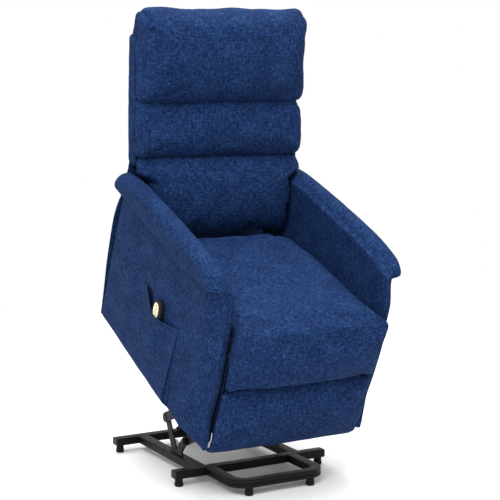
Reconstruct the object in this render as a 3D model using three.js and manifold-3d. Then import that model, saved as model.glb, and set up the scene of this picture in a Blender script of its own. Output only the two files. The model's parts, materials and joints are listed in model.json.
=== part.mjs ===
// Lift recliner chair, in its raised position.
// Millimetres, +Z up, the sitter faces -Y and the sitter's left is +X.
// The base stands on the floor. The chair is built in its own group, in which Y runs back along
// the side panel's bottom edge and Z runs up its front edge, and that group is tilted forward.

import * as THREE from "three";
import { mergeVertices } from "three/addons/utils/BufferGeometryUtils.js";
import Module from "manifold-3d";

const wasm = await Module();
wasm.setup();

// ---- driving dimensions -------------------------------------------------------------------

const GAP = 0.3; // left between pieces that touch
const SIDES = { left: 1, right: -1 };

const TILT = THREE.MathUtils.degToRad(23.9); // forward tilt of the chair when raised
const CORNER = { y: -449.1, z: 165.8 }; // the chair group's origin in the base's frame
const CENTRE_SHIFT = 176.527; // moves the middle of the whole object's box to y = 0

const FOOT = { radius: 13.5, height: 25 };
const TUBE = { low: 25, high: 50, wall: 1.6, halfLength: 264 };
const FRONT_TUBE = { near: -235, far: -200 };
const REAR_TUBE = { near: 205, far: 242 };
const RAIL = { inner: 150, outer: 186 };
const HOOP = { front: -420, inset: 32, outer: 163, inner: 128, bend: 62 };

const REAR_PIVOT = [10, 157]; // lift arm on the base
const FRONT_PIVOT = [-110, 105]; // front link on the base
const MOTOR_PIVOT = [190, 80]; // actuator on the base
const ARM_ON_CHAIR = [200, 32.55]; // the same pivots at the chair's end, in the chair group
const LINK_ON_CHAIR = [100, 30.09];
const ROD_ON_CHAIR = [330, 110];
const ACTUATOR_TUBE_AT = [318, 146];
const PIN_RADIUS = 8;
const PLATES = {
  lug: [156, 162],
  link: [164, 170],
  bracket: [172, 177],
  arm: [179, 185],
  chair: [187, 192],
};

const ARM = { outer: 302, inner: 258, rollOuter: 328, rollInner: 254 };
const SEAT_HALF = 247.5;
const CALF_HALF = 248.5;
const BACK_HALF = 250; // between the arms
const WING_HALF = 290; // above the arms
const RECLINE_PIVOT = [600, 250];
const LEGREST_PIVOT = [50, 347];
const NOSE_RADIUS = 59.5;
const POCKET = { front: 236, rear: 524, floor: 130, wall: 3, outer: 328 };
const HANDSET = { centre: 364, low: 140, high: 290, half: 23, inner: 303, outer: 323 };
const BUTTONS = { raise: 269, lower: 249, radius: 6.5, proud: 1.6 };

// ---- materials ----------------------------------------------------------------------------

function finish(color, roughness, metalness = 0) {
  return new THREE.MeshStandardMaterial({ color, roughness, metalness });
}

const FINISH = {
  cloth: finish(0x21447f, 0.9),
  frame: finish(0x191716, 0.45, 0.6),
  rubber: finish(0x121212, 0.85),
  steel: finish(0x8d9094, 0.35, 0.9),
  timber: finish(0xa5875c, 0.75),
  casing: finish(0x161617, 0.5),
  key: finish(0xd8cfa4, 0.5),
};

// ---- shape helpers --------------------------------------------------------------------------

// A closed outline from [u, v] points.
function outline(points) {
  return new THREE.Shape(points.map(([u, v]) => new THREE.Vector2(u, v)));
}

// An outline in the Y-Z plane carried along X from xLow to xHigh. A bevel rounds its edges inwards.
function slab(shape, xLow, xHigh, bevel = 0, curveSegments = 5) {
  const geometry = new THREE.ExtrudeGeometry(shape, {
    depth: xHigh - xLow - 2 * bevel,
    bevelEnabled: bevel > 0,
    bevelThickness: bevel,
    bevelSize: bevel,
    bevelOffset: -bevel,
    bevelSegments: 2,
    curveSegments,
  });
  geometry.translate(0, 0, xLow + bevel);
  const turn = new THREE.Matrix4().makeBasis(
    new THREE.Vector3(0, 1, 0),
    new THREE.Vector3(0, 0, 1),
    new THREE.Vector3(1, 0, 0),
  );
  return geometry.applyMatrix4(turn);
}

// The same between two distances from the middle, on one side of the chair.
function sideSlab(shape, side, near, far, bevel = 0, curveSegments = 5) {
  const low = side > 0 ? near : -far;
  return slab(shape, low, low + far - near, bevel, curveSegments);
}

function block(low, high) {
  const size = high.map((value, axis) => value - low[axis]);
  const geometry = new THREE.BoxGeometry(...size);
  return geometry.translate(...low.map((value, axis) => value + size[axis] / 2));
}

// A block given by its near and far distance from the middle, on one side.
function sideBlock(side, near, far, low, high) {
  const [x0, x1] = side > 0 ? [near, far] : [-far, -near];
  return block([x0, ...low], [x1, ...high]);
}

// The outline of a flat link: two round ends joined by their outer tangents.
function linkOutline([y0, z0], [y1, z1], r0, r1 = r0) {
  const along = Math.atan2(z1 - z0, y1 - y0);
  const reach = Math.hypot(y1 - y0, z1 - z0);
  const spread = Math.acos((r0 - r1) / reach);
  const shape = new THREE.Shape();
  shape.absarc(y1, z1, r1, along - spread, along + spread, false);
  shape.absarc(y0, z0, r0, along + spread, along - spread + 2 * Math.PI, false);
  return shape;
}

// A round bar along X.
function roundBar([y, z], radius, xLow, xHigh, sides = 16) {
  const geometry = new THREE.CylinderGeometry(radius, radius, xHigh - xLow, sides);
  geometry.rotateZ(Math.PI / 2);
  return geometry.translate((xLow + xHigh) / 2, y, z);
}

function sideBar(side, at, radius, near, far) {
  return side > 0 ? roundBar(at, radius, near, far) : roundBar(at, radius, -far, -near);
}

// A rectangular tube along X, open at both ends.
function boxTube(xHalf, low, high, wall) {
  const [y0, z0] = low;
  const [y1, z1] = high;
  const shape = outline([[y0, z0], [y1, z0], [y1, z1], [y0, z1]]);
  shape.holes.push(
    outline([
      [y0 + wall, z0 + wall],
      [y0 + wall, z1 - wall],
      [y1 - wall, z1 - wall],
      [y1 - wall, z0 + wall],
    ]),
  );
  return slab(shape, -xHalf, xHalf);
}

// A round bar between two points of the Y-Z plane, centred on x.
function barBetween([y0, z0], [y1, z1], radius, x = 0, sides = 16) {
  const reach = Math.hypot(y1 - y0, z1 - z0);
  const geometry = new THREE.CylinderGeometry(radius, radius, reach, sides);
  geometry.rotateX(Math.atan2(z1 - z0, y1 - y0));
  return geometry.translate(x, (y0 + y1) / 2, (z0 + z1) / 2);
}

// The point a given distance along the line from one point to another.
function along([y0, z0], [y1, z1], distance) {
  const share = distance / Math.hypot(y1 - y0, z1 - z0);
  return [y0 + (y1 - y0) * share, z0 + (z1 - z0) * share];
}

// A point of the chair group, in the base's frame.
function onBase([back, up]) {
  return [
    CORNER.y + back * Math.cos(TILT) - up * Math.sin(TILT),
    CORNER.z + back * Math.sin(TILT) + up * Math.cos(TILT),
  ];
}

function solid(geometry) {
  const bare = geometry.index ? geometry.toNonIndexed() : geometry.clone();
  bare.deleteAttribute("normal");
  bare.deleteAttribute("uv");
  const merged = mergeVertices(bare, 1e-4);
  return new wasm.Manifold(
    new wasm.Mesh({
      numProp: 3,
      vertProperties: new Float32Array(merged.attributes.position.array),
      triVerts: new Uint32Array(merged.index.array),
    }),
  );
}

function geometryOf(manifold) {
  const mesh = manifold.getMesh();
  const geometry = new THREE.BufferGeometry();
  geometry.setAttribute("position", new THREE.BufferAttribute(mesh.vertProperties, 3));
  geometry.setIndex(new THREE.BufferAttribute(mesh.triVerts, 1));
  geometry.computeVertexNormals();
  return geometry;
}

function join(...geometries) {
  return geometryOf(geometries.map(solid).reduce((sum, next) => sum.add(next)));
}

function cut(geometry, ...tools) {
  return geometryOf(tools.map(solid).reduce((rest, tool) => rest.subtract(tool), solid(geometry)));
}

function add(group, name, geometry, material) {
  const mesh = new THREE.Mesh(geometry, material);
  mesh.name = name;
  group.add(mesh);
}

// ---- base -----------------------------------------------------------------------------------

function makeTubes(base) {
  const { low, high, wall, halfLength } = TUBE;
  for (const [name, tube] of [["base_front_tube", FRONT_TUBE], ["base_rear_tube", REAR_TUBE]]) {
    add(base, name, boxTube(halfLength, [tube.near, low], [tube.far, high], wall), FINISH.frame);
  }
  const length = REAR_TUBE.near - FRONT_TUBE.far - 2 * GAP;
  const halfWidth = (RAIL.outer - RAIL.inner) / 2;
  for (const [side, sign] of Object.entries(SIDES)) {
    const rail = boxTube(length / 2, [-halfWidth, low], [halfWidth, high], wall);
    rail.rotateZ(Math.PI / 2);
    rail.translate(
      (sign * (RAIL.outer + RAIL.inner)) / 2,
      (REAR_TUBE.near + FRONT_TUBE.far) / 2,
      0,
    );
    add(base, `base_rail_${side}`, rail, FINISH.frame);
  }
}

// A flat U with round bends, in front of the front tube.
function makeHoop(base) {
  const back = FRONT_TUBE.near - GAP;
  const inner = HOOP.front + HOOP.inset;
  const innerBend = HOOP.bend - (HOOP.outer - HOOP.inner);
  const shape = new THREE.Shape();
  shape.moveTo(-HOOP.outer, back);
  shape.absarc(-HOOP.outer + HOOP.bend, HOOP.front + HOOP.bend, HOOP.bend, Math.PI, 1.5 * Math.PI);
  shape.absarc(HOOP.outer - HOOP.bend, HOOP.front + HOOP.bend, HOOP.bend, 1.5 * Math.PI, 0);
  shape.lineTo(HOOP.outer, back);
  shape.lineTo(HOOP.inner, back);
  shape.absarc(HOOP.inner - innerBend, inner + innerBend, innerBend, 0, 1.5 * Math.PI, true);
  shape.absarc(-HOOP.inner + innerBend, inner + innerBend, innerBend, 1.5 * Math.PI, Math.PI, true);
  shape.lineTo(-HOOP.inner, back);
  const hoop = new THREE.ExtrudeGeometry(shape, {
    depth: TUBE.high - TUBE.low,
    bevelEnabled: false,
    curveSegments: 6,
  });
  add(base, "base_hoop", hoop.translate(0, 0, TUBE.low), FINISH.frame);
}

function makeFeet(base) {
  const places = { rear: [248, 224], front: [249, -218], hoop: [107, -403] };
  const { radius, height } = FOOT;
  const profile = [
    [0, 0],
    [radius - 2, 0],
    [radius, 3],
    [radius - 1, height - GAP],
    [0, height - GAP],
  ].map(([r, z]) => new THREE.Vector2(r, z));
  for (const [place, [x, y]] of Object.entries(places)) {
    for (const [side, sign] of Object.entries(SIDES)) {
      const foot = new THREE.LatheGeometry(profile, 16);
      foot.rotateX(Math.PI / 2);
      add(base, `foot_${place}_${side}`, foot.translate(sign * x, y, 0), FINISH.rubber);
    }
  }
}

// Each side has one V-shaped plate: the rear ear carries the lift arm, the front ear the front link.
function makeBrackets(base) {
  const [near, far] = PLATES.bracket;
  const floor = TUBE.high + GAP;
  const earFoot = 15;
  for (const [side, sign] of Object.entries(SIDES)) {
    const ears = join(
      sideSlab(linkOutline([-38, floor + earFoot], REAR_PIVOT, earFoot), sign, near, far),
      sideSlab(linkOutline([-72, floor + earFoot], FRONT_PIVOT, earFoot, 14), sign, near, far),
      sideBlock(sign, near, far, [-95, floor], [-15, floor + 14]),
    );
    const bored = cut(
      ears,
      sideBar(sign, REAR_PIVOT, PIN_RADIUS + GAP, near - 1, far + 1),
      sideBar(sign, FRONT_PIVOT, PIN_RADIUS + GAP, near - 1, far + 1),
    );
    add(base, `pivot_bracket_${side}`, bored, FINISH.frame);
  }
  const ear = outline([[166, 54], [236, 54], [204, 93], [178, 93]]);
  const clevis = join(
    block([-34, REAR_TUBE.near, floor], [34, 238, 55]),
    slab(ear, -30, -26),
    slab(ear, 26, 30),
  );
  add(base, "actuator_clevis", clevis, FINISH.frame);
}

// ---- lift linkage -----------------------------------------------------------------------------

function makeLiftArms(base) {
  const [near, far] = PLATES.arm;
  const top = onBase(ARM_ON_CHAIR);
  const tubeAt = along(REAR_PIVOT, top, 135);
  for (const [side, sign] of Object.entries(SIDES)) {
    const arm = join(
      sideSlab(linkOutline(REAR_PIVOT, top, 16, 14), sign, near, far),
      sideBar(sign, REAR_PIVOT, PIN_RADIUS, PLATES.bracket[0] - 1.5, far),
      sideBar(sign, top, PIN_RADIUS, near, PLATES.chair[1] + 1),
    );
    add(base, `lift_arm_${side}`, arm, FINISH.frame);
  }
  const reach = near - GAP;
  add(base, "lift_torque_tube", roundBar(tubeAt, 12, -reach, reach), FINISH.frame);
}

function makeFrontLinks(base) {
  const [near, far] = PLATES.link;
  for (const [side, sign] of Object.entries(SIDES)) {
    const link = join(
      sideSlab(linkOutline(FRONT_PIVOT, onBase(LINK_ON_CHAIR), 14, 12), sign, near, far),
      sideBar(sign, FRONT_PIVOT, PIN_RADIUS, near, PLATES.bracket[1] + 1),
    );
    add(base, `front_link_${side}`, link, FINISH.frame);
  }
}

function makeActuator(base) {
  const rodEnd = onBase(ROD_ON_CHAIR);
  const tubeStart = along(MOTOR_PIVOT, rodEnd, 48);
  const tubeEnd = along(MOTOR_PIVOT, rodEnd, 327);
  const rodStart = along(MOTOR_PIVOT, rodEnd, 300);
  const boreStart = along(MOTOR_PIVOT, rodEnd, 172);
  const boreEnd = along(MOTOR_PIVOT, rodEnd, 328);
  const housing = join(
    slab(linkOutline(MOTOR_PIVOT, along(MOTOR_PIVOT, rodEnd, 70), 20, 25), -22, 22),
    barBetween(along(MOTOR_PIVOT, rodEnd, 58), along(MOTOR_PIVOT, rodEnd, 170), 22, 44),
    slab(linkOutline(along(MOTOR_PIVOT, rodEnd, 72), along(MOTOR_PIVOT, rodEnd, 80), 20), 20, 46),
  );
  add(base, "actuator_motor", housing, FINISH.casing);
  const sleeveStart = along(MOTOR_PIVOT, rodEnd, 96);
  const sleeve = cut(barBetween(sleeveStart, tubeEnd, 17), barBetween(boreStart, boreEnd, 9.6));
  add(base, "actuator_sleeve", sleeve, FINISH.casing);
  const fork = join(
    barBetween(rodStart, along(rodEnd, MOTOR_PIVOT, 36), 9),
    block([-12, -9, -8], [12, 9, 8])
      .rotateX(Math.atan2(rodEnd[1] - tubeStart[1], rodEnd[0] - tubeStart[0]))
      .translate(0, ...along(rodEnd, MOTOR_PIVOT, 38)),
    slab(linkOutline(along(rodEnd, MOTOR_PIVOT, 38), rodEnd, 9, 12), -12, -7.5),
    slab(linkOutline(along(rodEnd, MOTOR_PIVOT, 38), rodEnd, 9, 12), 7.5, 12),
  );
  add(base, "actuator_rod", fork, FINISH.steel);
}

// ---- chair frame ------------------------------------------------------------------------------

function makeLiftFrame(chair) {
  const [near, far] = PLATES.chair;
  const plate = outline([
    [82.3, 12],
    [649.7, 12],
    [649.7, 145],
    [630, 145],
    [612, 54],
    [352, 54],
    [338, 164],
    [298, 164],
    [284, 54],
    [114, 54],
    [100, 100],
    [82.3, 100],
  ]);
  for (const [side, sign] of Object.entries(SIDES)) {
    const bored = cut(
      sideSlab(plate, sign, near, far),
      sideBar(sign, ARM_ON_CHAIR, PIN_RADIUS + GAP, near - 1, far + 1),
    );
    add(chair, `lift_plate_${side}`, bored, FINISH.frame);
  }
  const reach = ARM.inner - GAP;
  const lug = linkOutline([76, 56], LINK_ON_CHAIR, 13, 13);
  const front = join(
    boxTube(reach, [62, 60], [82, 100], 1.6),
    slab(lug, PLATES.lug[0], PLATES.lug[1]),
    slab(lug, -PLATES.lug[1], -PLATES.lug[0]),
  );
  add(chair, "lift_frame_front_tube", front, FINISH.frame);
  add(chair, "lift_frame_rear_tube", boxTube(reach, [650, 75], [670, 145], 1.6), FINISH.frame);
  const span = near - GAP;
  const crossTube = join(
    roundBar(ACTUATOR_TUBE_AT, 12, -span, span),
    slab(linkOutline(ACTUATOR_TUBE_AT, ROD_ON_CHAIR, 12), -6, 6),
  );
  add(chair, "actuator_cross_tube", crossTube, FINISH.frame);
  add(chair, "control_box", block([92, 560, 62], [158, 648, 100]), FINISH.casing);
}

// A zigzag wire from the front seat rail to the rear one.
function makeSpring(x) {
  const turns = 9;
  const [start, end, height] = [81, 583, 268];
  const points = [new THREE.Vector3(x, start, height)];
  for (let turn = 0; turn < turns; turn += 1) {
    const swing = turn % 2 ? -24 : 24;
    const y = start + 12 + ((end - start - 24) * (turn + 0.5)) / turns;
    points.push(new THREE.Vector3(x + swing, y - 12, height));
    points.push(new THREE.Vector3(x + swing, y + 12, height));
  }
  points.push(new THREE.Vector3(x, end, height));
  const circle = new THREE.Shape();
  circle.absarc(0, 0, 1.9, 0, 2 * Math.PI);
  return new THREE.ExtrudeGeometry(circle, {
    steps: 54,
    curveSegments: 3,
    extrudePath: new THREE.CatmullRomCurve3(points),
  });
}

function makeSeatFrame(chair) {
  const floor = 225;
  const top = 285;
  add(chair, "seat_rail_front", block([-235, 60, 235], [235, 79.5, top]), FINISH.timber);
  add(chair, "seat_rail_rear", block([-219, 585, floor + 6], [219, 606, top - 5]), FINISH.timber);
  for (const [side, sign] of Object.entries(SIDES)) {
    const rail = sideBlock(sign, 236, 256, [80, floor], [622, top]);
    add(chair, `seat_rail_${side}`, rail, FINISH.timber);
  }
  [-130, 0, 130].forEach((x, index) => {
    add(chair, `seat_spring_${index + 1}`, makeSpring(x), FINISH.steel);
  });
}

// ---- arms -------------------------------------------------------------------------------------

// What is cut off a side panel so that its front end narrows to a post.
function frontTaper(sign) {
  const post = ARM.inner + 17;
  const beyond = ARM.outer + 2;
  const shape = outline([
    [sign * post, 0],
    [sign * post, 30],
    [sign * beyond, 92],
    [sign * beyond, 0],
  ]);
  const taper = new THREE.ExtrudeGeometry(shape, { depth: 520, bevelEnabled: false });
  return taper.translate(0, 0, -10);
}

function makeArms(chair) {
  const panel = outline([
    [38, 0],
    [34, 100],
    [28, 205],
    [34, 290],
    [44, 425],
    [64, 496],
    [136, 476],
    [308, 452],
    [752, 446],
    [742, 0],
  ]);
  const roll = outline([
    [66, 499],
    [136.5, 477],
    [308, 453],
    [744, 447],
    [776, 460],
    [783, 482],
    [764, 508],
    [696, 532],
    [575, 541],
    [360, 551],
    [222, 551],
    [128, 538],
    [84, 520],
  ]);
  for (const [side, sign] of Object.entries(SIDES)) {
    const body = cut(sideSlab(panel, sign, ARM.inner, ARM.outer, 4), frontTaper(sign));
    add(chair, `side_panel_${side}`, body, FINISH.cloth);
    const pad = sideSlab(roll, sign, ARM.rollInner, ARM.rollOuter, 10);
    add(chair, `arm_pad_${side}`, pad, FINISH.cloth);
  }
}

// An open-topped pouch on the outer face of the right panel, with a drooping mouth.
function makePocket(chair) {
  const { front, rear, floor, wall, outer } = POCKET;
  const inner = ARM.outer + GAP;
  const face = new THREE.Shape();
  face.moveTo(front, 2);
  face.lineTo(rear, 2);
  face.lineTo(rear, 279);
  face.quadraticCurveTo(442, 200, front, 285);
  const pouch = join(
    slab(face, -outer, -outer + wall, 0, 8),
    block([-outer + wall / 2, front, 2], [-inner, rear, floor]),
    block([-outer + wall / 2, front, floor - wall], [-inner, front + wall, 283]),
    block([-outer + wall / 2, rear - wall, floor - wall], [-inner, rear, 276]),
  );
  add(chair, "side_pocket", pouch, FINISH.cloth);
}

function makeHandset(chair) {
  const { centre, low, high, half, inner, outer } = HANDSET;
  const body = sideSlab(linkOutline([centre, low + half], [centre, high - half], half), -1, inner, outer, 3, 8);
  const recess = 3.8;
  const pockets = [BUTTONS.raise, BUTTONS.lower].map((height) =>
    sideBar(-1, [centre, height], BUTTONS.radius + 0.5, outer - recess, outer + 1),
  );
  add(chair, "handset_body", cut(body, ...pockets), FINISH.casing);
  for (const name of ["raise", "lower"]) {
    const at = [centre, BUTTONS[name]];
    const key = sideBar(-1, at, BUTTONS.radius, outer - recess + BUTTONS.proud, outer + BUTTONS.proud);
    add(chair, `handset_button_${name}`, key, FINISH.key);
  }
}

// ---- seat and legrest ---------------------------------------------------------------------------

function makeSeatCushion(chair) {
  const [y, z] = LEGREST_PIVOT;
  const seatTop = 397;
  const topAngle = Math.PI - Math.asin((seatTop - z) / NOSE_RADIUS);
  const shape = new THREE.Shape();
  shape.moveTo(60, 290);
  shape.lineTo(596, 290);
  shape.lineTo(602, 346);
  shape.quadraticCurveTo(560, 372, 430, 382);
  shape.lineTo(215, 384);
  shape.lineTo(y + NOSE_RADIUS * Math.cos(topAngle), seatTop);
  shape.absarc(y, z, NOSE_RADIUS, topAngle, 1.28 * Math.PI, false);
  add(chair, "seat_cushion", slab(shape, -SEAT_HALF, SEAT_HALF), FINISH.cloth);
}

function makeLegrest(chair) {
  const [y, z] = LEGREST_PIVOT;
  const radius = NOSE_RADIUS + 1.2;
  const front = -10;
  const topZ = 316;
  const topAngle = Math.PI + Math.asin((z - topZ) / radius);
  const calf = new THREE.Shape();
  calf.moveTo(front, topZ);
  calf.lineTo(-11, 301);
  calf.lineTo(-6, 245);
  calf.lineTo(5, 199);
  calf.lineTo(27, 199);
  calf.lineTo(27, 291);
  calf.absarc(y, z, radius, 1.375 * Math.PI, topAngle, true);
  add(chair, "calf_pad", slab(calf, -CALF_HALF, CALF_HALF), FINISH.cloth);
  const foot = outline([
    [4, 197],
    [-3, 140],
    [-5, 83],
    [3, 30],
    [13, -8],
    [25, -33],
    [45, -33],
    [45, -20],
    [27, -20],
    [27, 197],
  ]);
  add(chair, "foot_pad", slab(foot, -CALF_HALF, CALF_HALF), FINISH.cloth);
  add(chair, "legrest_board", block([-240, 28, -19], [240, 41, 282]), FINISH.timber);
  for (const [side, sign] of Object.entries(SIDES)) {
    const arm = join(
      sideSlab(linkOutline([50, 170], LEGREST_PIVOT, 7.5, 12), sign, 249.5, 254.5),
      sideBlock(sign, 225, 250.5, [42, 164], [48, 180]),
    );
    add(chair, `legrest_arm_${side}`, arm, FINISH.frame);
  }
}

// ---- back -------------------------------------------------------------------------------------

// Where the outside of the back lies at a given height.
const BACK_LINE = [[190, 764], [521, 764], [721, 847], [905, 915]];

function backAt(height) {
  const next = BACK_LINE.findIndex(([h]) => h >= height);
  const [h0, y0] = BACK_LINE[Math.max(next - 1, 0)];
  const [h1, y1] = BACK_LINE[Math.max(next, 1)];
  return y0 + ((y1 - y0) * (height - h0)) / (h1 - h0);
}

// The strip between two distances in front of that line, from one height to another.
function backStrip(low, high, near, far) {
  const inside = BACK_LINE.map(([h]) => h).filter((h) => h > low && h < high);
  const heights = [low, ...inside, high];
  const rear = heights.map((h) => [backAt(h) - near, h]);
  const front = heights.map((h) => [backAt(h) - far, h]).reverse();
  return outline([...rear, ...front]);
}

function makeBackFrame(chair) {
  for (const [side, sign] of Object.entries(SIDES)) {
    const upright = join(
      sideSlab(backStrip(298, 890, 12, 44), sign, 222, 249),
      sideSlab(linkOutline(RECLINE_PIVOT, [734, 316], 18, 14), sign, 222, 233),
    );
    add(chair, `back_upright_${side}`, upright, FINISH.timber);
  }
  const reach = 222 - GAP;
  add(chair, "back_top_rail", slab(backStrip(850, 890, 12, 44), -reach, reach), FINISH.timber);
  add(chair, "back_lower_rail", slab(backStrip(310, 350, 12, 44), -reach, reach), FINISH.timber);
}

function makeBackPanels(chair) {
  const shellHalf = WING_HALF + 3;
  const wing = backStrip(573, 905, 0, 46);
  const shell = join(
    slab(backStrip(556, 905, 0, 10), -shellHalf, shellHalf),
    sideSlab(wing, 1, shellHalf - 12, shellHalf),
    sideSlab(wing, -1, shellHalf - 12, shellHalf),
  );
  add(chair, "back_shell", shell, FINISH.cloth);
  const lower = backStrip(205, 555.5, 0, 10);
  add(chair, "back_lower_panel", slab(lower, -BACK_HALF, BACK_HALF), FINISH.cloth);
  add(chair, "rear_skirt", block([-296, 762, 2], [296, 766, 180]), FINISH.cloth);
}

function makeBackCushions(chair) {
  const rear = (height) => backAt(height) - 48;
  const lumbar = outline([
    [630, 346],
    [708, 346],
    [rear(521), 521],
    [rear(570), 570],
    [705, 570],
    [674, 544],
    [647, 500],
    [627, 450],
    [620, 400],
  ]);
  add(chair, "lumbar_cushion", slab(lumbar, -BACK_HALF, BACK_HALF, 8), FINISH.cloth);
  const middle = outline([
    [716, 581],
    [rear(581), 581],
    [rear(721), 721],
    [rear(738), 738],
    [769, 738],
    [746, 716],
    [720, 665],
    [708, 612],
  ]);
  add(chair, "middle_cushion", slab(middle, -WING_HALF, WING_HALF, 8), FINISH.cloth);
  const head = outline([
    [780, 743],
    [rear(743), 743],
    [rear(905), 906],
    [924, 906],
    [927, 945],
    [918, 982],
    [894, 997],
    [864, 991],
    [832, 962],
    [797, 900],
    [773, 832],
    [766, 778],
  ]);
  add(chair, "head_cushion", slab(head, -WING_HALF, WING_HALF, 8), FINISH.cloth);
}

// ---- assembly -----------------------------------------------------------------------------------

const base = new THREE.Group();
makeTubes(base);
makeHoop(base);
makeFeet(base);
makeBrackets(base);
makeLiftArms(base);
makeFrontLinks(base);
makeActuator(base);

const chair = new THREE.Group();
makeLiftFrame(chair);
makeSeatFrame(chair);
makeArms(chair);
makePocket(chair);
makeHandset(chair);
makeSeatCushion(chair);
makeLegrest(chair);
makeBackFrame(chair);
makeBackPanels(chair);
makeBackCushions(chair);
chair.position.set(0, CORNER.y, CORNER.z);
chair.rotation.x = TILT;

const liftChair = new THREE.Group();
liftChair.add(base, chair);
liftChair.position.y = CENTRE_SHIFT;

export default liftChair;
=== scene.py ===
"""Looks of the lift recliner chair: cloth, padding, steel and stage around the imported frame."""

import json
import math

import bpy
import numpy as np
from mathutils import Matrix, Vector
from mathutils.bvhtree import BVHTree
from mathutils.geometry import tessellate_polygon


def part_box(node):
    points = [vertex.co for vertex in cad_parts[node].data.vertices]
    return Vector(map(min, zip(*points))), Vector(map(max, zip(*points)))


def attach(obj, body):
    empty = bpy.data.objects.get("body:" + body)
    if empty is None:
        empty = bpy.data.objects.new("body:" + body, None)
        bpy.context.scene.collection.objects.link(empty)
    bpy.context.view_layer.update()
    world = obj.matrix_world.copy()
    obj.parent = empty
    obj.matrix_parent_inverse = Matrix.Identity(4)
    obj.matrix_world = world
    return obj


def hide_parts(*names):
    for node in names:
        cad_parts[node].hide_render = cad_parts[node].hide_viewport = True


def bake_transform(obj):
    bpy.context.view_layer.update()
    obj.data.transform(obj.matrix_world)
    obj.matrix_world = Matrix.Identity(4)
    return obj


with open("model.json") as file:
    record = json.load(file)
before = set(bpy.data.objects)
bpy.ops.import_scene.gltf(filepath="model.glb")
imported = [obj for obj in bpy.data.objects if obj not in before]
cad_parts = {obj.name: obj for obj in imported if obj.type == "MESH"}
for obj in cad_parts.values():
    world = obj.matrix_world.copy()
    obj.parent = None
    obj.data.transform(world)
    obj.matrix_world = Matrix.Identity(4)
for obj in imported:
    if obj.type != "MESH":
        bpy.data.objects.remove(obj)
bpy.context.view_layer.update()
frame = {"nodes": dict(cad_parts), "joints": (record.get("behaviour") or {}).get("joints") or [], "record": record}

bl_info = {
    "name": "Lift recliner chair",
    "version": (1, 0, 0),
    "blender": (4, 5, 0),
    "location": "View3D > Sidebar > Chair",
    "description": "Upholstery, frame finishes and studio of a lift recliner chair",
    "category": "Object",
}

# ---- places taken from the frame ------------------------------------------------------------

MM = 0.001
JOINTS = {joint["name"]: joint for joint in frame["joints"]}
_, LEAN, RISE = JOINTS["handset_lift_out"]["axis"]
AXES = np.array([[1.0, 0.0, 0.0], [0.0, RISE, -LEAN], [0.0, LEAN, RISE]])
RECLINE_PIVOT = np.array([0.0, 600.0, 250.0])
CORNER = np.array(JOINTS["back_recline"]["pos_m"]) - MM * RECLINE_PIVOT @ AXES
SIDES = {"left": 1.0, "right": -1.0}

# The outside of the back: its distance behind the front edge at some heights, in millimetres.
BACK_LINE = np.array([[190, 764], [521, 764], [721, 847], [905, 915]], float)


def placed(points):
    """(across, back, up) in the chair's own leaning frame, in millimetres, to the row frame in metres."""
    return CORNER + MM * np.asarray(points, float) @ AXES


def chair_coordinates(points):
    """The inverse of placed()."""
    return (np.asarray(points, float) - CORNER) @ AXES.T / MM


def box_of(node):
    """The box of a CAD node, in millimetres."""
    low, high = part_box(node)
    return np.array(low) / MM, np.array(high) / MM


def back_at(height):
    """How far back the outside of the back lies at a height."""
    return np.interp(height, BACK_LINE[:, 0], BACK_LINE[:, 1])


# ---- numpy shapes ---------------------------------------------------------------------------


def catmull(points, closed, per_span=24):
    """Points on the Catmull-Rom curve through the given ones: each span is the cubic whose end
    slopes are half the chord between the neighbours of its ends."""
    points = np.asarray(points, float)
    if closed:
        before, after = np.roll(points, 1, 0), np.roll(points, -1, 0)
        further = np.roll(points, -2, 0)
        starts = points
    else:
        padded = np.vstack([2 * points[0] - points[1], points, 2 * points[-1] - points[-2]])
        before, starts, after, further = padded[:-3], padded[1:-2], padded[2:-1], padded[3:]
    t = np.linspace(0, 1, per_span, endpoint=False)[None, :, None]
    b, s, a, f = (part[:, None, :] for part in (before, starts, after, further))
    curve = 0.5 * (
        2 * s + (a - b) * t + (2 * b - 5 * s + 4 * a - f) * t**2 + (3 * s - b - 3 * a + f) * t**3
    )
    curve = curve.reshape(-1, points.shape[1])
    return curve if closed else np.vstack([curve, points[-1]])


def evenly(curve, count, closed=False):
    """The same curve in points of equal spacing along it."""
    if closed:
        curve = np.vstack([curve, curve[:1]])
    run = np.concatenate([[0], np.cumsum(np.linalg.norm(np.diff(curve, axis=0), axis=1))])
    at = np.linspace(0, run[-1], count, endpoint=not closed)
    return np.stack([np.interp(at, run, column) for column in curve.T], axis=1)


def smooth_loop(points, count):
    """A closed smooth outline through the given points."""
    return evenly(catmull(points, True), count, True)


def smooth_line(points, count):
    """An open smooth line through the given points."""
    return evenly(catmull(points, False), count)


def outward(loop):
    """Unit normals of a closed flat loop, pointing away from its inside."""
    along = np.roll(loop, -1, 0) - np.roll(loop, 1, 0)
    normal = np.stack([along[:, 1], -along[:, 0]], axis=1)
    normal /= np.maximum(np.linalg.norm(normal, axis=1, keepdims=True), 1e-9)
    x, y = loop.T
    area = np.sum(x * np.roll(y, -1) - np.roll(x, -1) * y)
    return normal * np.sign(area)


def grid_quads(rows, columns, wrap=False):
    """Quads of a grid whose points are numbered row by row, closed across the columns if wrap."""
    row = np.arange(rows - 1)[:, None]
    column = np.arange(columns if wrap else columns - 1)[None, :]
    following = (column + 1) % columns
    corners = [row * columns + column, row * columns + following]
    corners += [(row + 1) * columns + following, (row + 1) * columns + column]
    return np.stack([corner.ravel() for corner in corners], axis=1)


def loft(loops, plan=None):
    """Closed loops (rows x points x 3) joined by quads, the first and the last closed flat. The
    triangles that close them are those of the plan, or of the loop itself."""
    rows, count, _ = loops.shape
    faces = grid_quads(rows, count, True).tolist()
    for row in (0, rows - 1):
        polygon = [Vector(point) for point in (loops[row] if plan is None else plan)]
        ends = np.array(tessellate_polygon([polygon])) + row * count
        faces += ends.tolist()
    return loops.reshape(-1, 3), faces


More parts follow.
